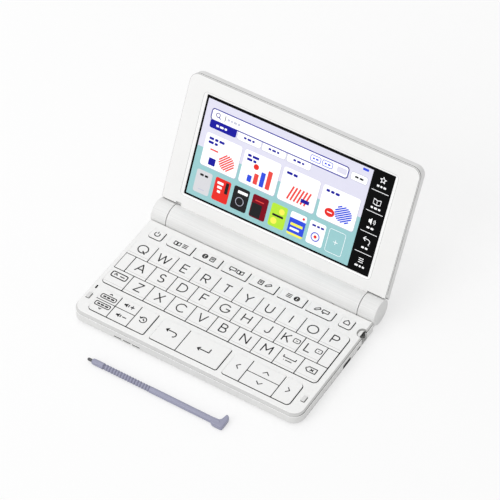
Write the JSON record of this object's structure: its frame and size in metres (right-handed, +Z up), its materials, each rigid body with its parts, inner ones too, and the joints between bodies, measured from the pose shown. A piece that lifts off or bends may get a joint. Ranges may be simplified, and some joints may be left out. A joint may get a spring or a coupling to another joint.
{
  "type": "electronic dictionary",
  "caption": "Open clamshell pocket dictionary: wide keyboard case, tilting touch screen on a barrel hinge, and a stylus with a hooked head lying in front.",
  "frame": {"origin": "middle of the whole object in width and depth, stylus included, at the height of the table it stands on", "axes": "+X to the right along the barrel, +Y from the front edge to the hinge, +Z up"},
  "size_m": [0.148, 0.1567, 0.0886],
  "materials": {
    "deck_white": "fine matte white moulding",
    "bezel_white": "smooth satin white moulding",
    "key_white": "matte white key cap",
    "case_grey": "pale grey moulding",
    "cover_grey": "pale grey satin gloss moulding",
    "rubber_grey": "soft grey rubber",
    "steel": "plain steel",
    "board_green": "green circuit board",
    "sheet_film": "translucent film",
    "glass_black": "black-framed touch glass over a lit display",
    "display": "display module",
    "cell_wrap": "wrapped cell",
    "stylus_lavender": "satin lavender grey moulding with a dark tip"
  },
  "bodies": {
    "base": {"lower_case": "case_grey", "keyboard_deck": "deck_white", "rubber_feet": "rubber_grey", "case_screws": "steel", "main_board": "board_green", "dome_sheet": "sheet_film", "hinge_pins": "steel"},
    "lid": {"lid_bezel": "bezel_white", "lid_cover": "cover_grey", "touch_panel": "glass_black", "lcd_panel": "display", "battery_cells": "cell_wrap", "battery_contacts": "steel"},
    "battery_door": {"battery_door": "bezel_white"},
    "stylus": {"stylus": "stylus_lavender"},
    "key_a_body": {"key_a": "key_white"},
    "key_b_body": {"key_b": "key_white"},
    "key_back_body": {"key_back": "key_white"},
    "key_book_1_body": {"key_book_1": "key_white"},
    "key_book_2_body": {"key_book_2": "key_white"},
    "key_book_3_body": {"key_book_3": "key_white"},
    "key_book_4_body": {"key_book_4": "key_white"},
    "key_book_5_body": {"key_book_5": "key_white"},
    "key_book_6_body": {"key_book_6": "key_white"},
    "key_c_body": {"key_c": "key_white"},
    "key_d_body": {"key_d": "key_white"},
    "key_delete_body": {"key_delete": "key_white"},
    "key_e_body": {"key_e": "key_white"},
    "key_enter_body": {"key_enter": "key_white"},
    "key_f_body": {"key_f": "key_white"},
    "key_g_body": {"key_g": "key_white"},
    "key_h_body": {"key_h": "key_white"},
    "key_history_body": {"key_history": "key_white"},
    "key_home_body": {"key_home": "key_white"},
    "key_i_body": {"key_i": "key_white"},
    "key_j_body": {"key_j": "key_white"},
    "key_k_body": {"key_k": "key_white"},
    "key_l_body": {"key_l": "key_white"},
    "key_left_body": {"key_left": "key_white"},
    "key_m_body": {"key_m": "key_white"},
    "key_n_body": {"key_n": "key_white"},
    "key_o_body": {"key_o": "key_white"},
    "key_p_body": {"key_p": "key_white"},
    "key_page_body": {"key_page": "key_white"},
    "key_power_body": {"key_power": "key_white"},
    "key_q_body": {"key_q": "key_white"},
    "key_r_body": {"key_r": "key_white"},
    "key_right_body": {"key_right": "key_white"},
    "key_s_body": {"key_s": "key_white"},
    "key_shift_body": {"key_shift": "key_white"},
    "key_space_body": {"key_space": "key_white"},
    "key_t_body": {"key_t": "key_white"},
    "key_u_body": {"key_u": "key_white"},
    "key_up_down_body": {"key_up_down": "key_white"},
    "key_v_body": {"key_v": "key_white"},
    "key_volume_body": {"key_volume": "key_white"},
    "key_w_body": {"key_w": "key_white"},
    "key_x_body": {"key_x": "key_white"},
    "key_y_body": {"key_y": "key_white"},
    "key_z_body": {"key_z": "key_white"}
  },
  "joints": [
    {"name": "lid_hinge", "type": "hinge", "parent": "base", "child": "lid", "pos_m": [0, 0.03352, 0.0094], "axis": [1, 0, 0], "range_deg": [-25, 115.5]},
    {"name": "battery_door_slide", "type": "slide", "parent": "lid", "child": "battery_door", "axis": [1, 0, 0], "range_m": [0, 0.0015]},
    {"name": "stylus_lift", "type": "slide", "parent": "base", "child": "stylus", "axis": [0, 0, 1], "range_m": [0, 0.00005]},
    {"name": "key_a_press", "type": "slide", "parent": "base", "child": "key_a_body", "axis": [0, 0, -1], "range_m": [0, 0.0005], "stiffness_N_per_m": 60, "springref_m": -0.0003},
    {"name": "key_b_press", "type": "slide", "parent": "base", "child": "key_b_body", "axis": [0, 0, -1], "range_m": [0, 0.0005], "stiffness_N_per_m": 60, "springref_m": -0.0003},
    {"name": "key_back_press", "type": "slide", "parent": "base", "child": "key_back_body", "axis": [0, 0, -1], "range_m": [0, 0.0005], "stiffness_N_per_m": 60, "springref_m": -0.0003},
    {"name": "key_book_1_press", "type": "slide", "parent": "base", "child": "key_book_1_body", "axis": [0, 0, -1], "range_m": [0, 0.0005], "stiffness_N_per_m": 60, "springref_m": -0.0003},
    {"name": "key_book_2_press", "type": "slide", "parent": "base", "child": "key_book_2_body", "axis": [0, 0, -1], "range_m": [0, 0.0005], "stiffness_N_per_m": 60, "springref_m": -0.0003},
    {"name": "key_book_3_press", "type": "slide", "parent": "base", "child": "key_book_3_body", "axis": [0, 0, -1], "range_m": [0, 0.0005], "stiffness_N_per_m": 60, "springref_m": -0.0003},
    {"name": "key_book_4_press", "type": "slide", "parent": "base", "child": "key_book_4_body", "axis": [0, 0, -1], "range_m": [0, 0.0005], "stiffness_N_per_m": 60, "springref_m": -0.0003},
    {"name": "key_book_5_press", "type": "slide", "parent": "base", "child": "key_book_5_body", "axis": [0, 0, -1], "range_m": [0, 0.0005], "stiffness_N_per_m": 60, "springref_m": -0.0003},
    {"name": "key_book_6_press", "type": "slide", "parent": "base", "child": "key_book_6_body", "axis": [0, 0, -1], "range_m": [0, 0.0005], "stiffness_N_per_m": 60, "springref_m": -0.0003},
    {"name": "key_c_press", "type": "slide", "parent": "base", "child": "key_c_body", "axis": [0, 0, -1], "range_m": [0, 0.0005], "stiffness_N_per_m": 60, "springref_m": -0.0003},
    {"name": "key_d_press", "type": "slide", "parent": "base", "child": "key_d_body", "axis": [0, 0, -1], "range_m": [0, 0.0005], "stiffness_N_per_m": 60, "springref_m": -0.0003},
    {"name": "key_delete_press", "type": "slide", "parent": "base", "child": "key_delete_body", "axis": [0, 0, -1], "range_m": [0, 0.0005], "stiffness_N_per_m": 60, "springref_m": -0.0003},
    {"name": "key_e_press", "type": "slide", "parent": "base", "child": "key_e_body", "axis": [0, 0, -1], "range_m": [0, 0.0005], "stiffness_N_per_m": 60, "springref_m": -0.0003},
    {"name": "key_enter_press", "type": "slide", "parent": "base", "child": "key_enter_body", "axis": [0, 0, -1], "range_m": [0, 0.0005], "stiffness_N_per_m": 60, "springref_m": -0.0003},
    {"name": "key_f_press", "type": "slide", "parent": "base", "child": "key_f_body", "axis": [0, 0, -1], "range_m": [0, 0.0005], "stiffness_N_per_m": 60, "springref_m": -0.0003},
    {"name": "key_g_press", "type": "slide", "parent": "base", "child": "key_g_body", "axis": [0, 0, -1], "range_m": [0, 0.0005], "stiffness_N_per_m": 60, "springref_m": -0.0003},
    {"name": "key_h_press", "type": "slide", "parent": "base", "child": "key_h_body", "axis": [0, 0, -1], "range_m": [0, 0.0005], "stiffness_N_per_m": 60, "springref_m": -0.0003},
    {"name": "key_history_press", "type": "slide", "parent": "base", "child": "key_history_body", "axis": [0, 0, -1], "range_m": [0, 0.0005], "stiffness_N_per_m": 60, "springref_m": -0.0003},
    {"name": "key_home_press", "type": "slide", "parent": "base", "child": "key_home_body", "axis": [0, 0, -1], "range_m": [0, 0.0005], "stiffness_N_per_m": 60, "springref_m": -0.0003},
    {"name": "key_i_press", "type": "slide", "parent": "base", "child": "key_i_body", "axis": [0, 0, -1], "range_m": [0, 0.0005], "stiffness_N_per_m": 60, "springref_m": -0.0003},
    {"name": "key_j_press", "type": "slide", "parent": "base", "child": "key_j_body", "axis": [0, 0, -1], "range_m": [0, 0.0005], "stiffness_N_per_m": 60, "springref_m": -0.0003},
    {"name": "key_k_press", "type": "slide", "parent": "base", "child": "key_k_body", "axis": [0, 0, -1], "range_m": [0, 0.0005], "stiffness_N_per_m": 60, "springref_m": -0.0003},
    {"name": "key_l_press", "type": "slide", "parent": "base", "child": "key_l_body", "axis": [0, 0, -1], "range_m": [0, 0.0005], "stiffness_N_per_m": 60, "springref_m": -0.0003},
    {"name": "key_left_press", "type": "slide", "parent": "base", "child": "key_left_body", "axis": [0, 0, -1], "range_m": [0, 0.0005], "stiffness_N_per_m": 60, "springref_m": -0.0003},
    {"name": "key_m_press", "type": "slide", "parent": "base", "child": "key_m_body", "axis": [0, 0, -1], "range_m": [0, 0.0005], "stiffness_N_per_m": 60, "springref_m": -0.0003},
    {"name": "key_n_press", "type": "slide", "parent": "base", "child": "key_n_body", "axis": [0, 0, -1], "range_m": [0, 0.0005], "stiffness_N_per_m": 60, "springref_m": -0.0003},
    {"name": "key_o_press", "type": "slide", "parent": "base", "child": "key_o_body", "axis": [0, 0, -1], "range_m": [0, 0.0005], "stiffness_N_per_m": 60, "springref_m": -0.0003},
    {"name": "key_p_press", "type": "slide", "parent": "base", "child": "key_p_body", "axis": [0, 0, -1], "range_m": [0, 0.0005], "stiffness_N_per_m": 60, "springref_m": -0.0003},
    {"name": "key_page_rock", "type": "hinge", "parent": "base", "child": "key_page_body", "pos_m": [-0.0597, -0.0411, 0.0076], "axis": [1, 0, 0], "range_deg": [-2.5, 2.5], "stiffness_Nm_per_rad": 0.002},
    {"name": "key_power_press", "type": "slide", "parent": "base", "child": "key_power_body", "axis": [0, 0, -1], "range_m": [0, 0.0005], "stiffness_N_per_m": 60, "springref_m": -0.0003},
    {"name": "key_q_press", "type": "slide", "parent": "base", "child": "key_q_body", "axis": [0, 0, -1], "range_m": [0, 0.0005], "stiffness_N_per_m": 60, "springref_m": -0.0003},
    {"name": "key_r_press", "type": "slide", "parent": "base", "child": "key_r_body", "axis": [0, 0, -1], "range_m": [0, 0.0005], "stiffness_N_per_m": 60, "springref_m": -0.0003},
    {"name": "key_right_press", "type": "slide", "parent": "base", "child": "key_right_body", "axis": [0, 0, -1], "range_m": [0, 0.0005], "stiffness_N_per_m": 60, "springref_m": -0.0003},
    {"name": "key_s_press", "type": "slide", "parent": "base", "child": "key_s_body", "axis": [0, 0, -1], "range_m": [0, 0.0005], "stiffness_N_per_m": 60, "springref_m": -0.0003},
    {"name": "key_shift_press", "type": "slide", "parent": "base", "child": "key_shift_body", "axis": [0, 0, -1], "range_m": [0, 0.0005], "stiffness_N_per_m": 60, "springref_m": -0.0003},
    {"name": "key_space_press", "type": "slide", "parent": "base", "child": "key_space_body", "axis": [0, 0, -1], "range_m": [0, 0.0005], "stiffness_N_per_m": 60, "springref_m": -0.0003},
    {"name": "key_t_press", "type": "slide", "parent": "base", "child": "key_t_body", "axis": [0, 0, -1], "range_m": [0, 0.0005], "stiffness_N_per_m": 60, "springref_m": -0.0003},
    {"name": "key_u_press", "type": "slide", "parent": "base", "child": "key_u_body", "axis": [0, 0, -1], "range_m": [0, 0.0005], "stiffness_N_per_m": 60, "springref_m": -0.0003},
    {"name": "key_up_down_rock", "type": "hinge", "parent": "base", "child": "key_up_down_body", "pos_m": [0.04325, -0.0411, 0.0076], "axis": [1, 0, 0], "range_deg": [-2.5, 2.5], "stiffness_Nm_per_rad": 0.002},
    {"name": "key_v_press", "type": "slide", "parent": "base", "child": "key_v_body", "axis": [0, 0, -1], "range_m": [0, 0.0005], "stiffness_N_per_m": 60, "springref_m": -0.0003},
    {"name": "key_volume_rock", "type": "hinge", "parent": "base", "child": "key_volume_body", "pos_m": [-0.0467, -0.0411, 0.0076], "axis": [1, 0, 0], "range_deg": [-2.5, 2.5], "stiffness_Nm_per_rad": 0.002},
    {"name": "key_w_press", "type": "slide", "parent": "base", "child": "key_w_body", "axis": [0, 0, -1], "range_m": [0, 0.0005], "stiffness_N_per_m": 60, "springref_m": -0.0003},
    {"name": "key_x_press", "type": "slide", "parent": "base", "child": "key_x_body", "axis": [0, 0, -1], "range_m": [0, 0.0005], "stiffness_N_per_m": 60, "springref_m": -0.0003},
    {"name": "key_y_press", "type": "slide", "parent": "base", "child": "key_y_body", "axis": [0, 0, -1], "range_m": [0, 0.0005], "stiffness_N_per_m": 60, "springref_m": -0.0003},
    {"name": "key_z_press", "type": "slide", "parent": "base", "child": "key_z_body", "axis": [0, 0, -1], "range_m": [0, 0.0005], "stiffness_N_per_m": 60, "springref_m": -0.0003}
  ]
}
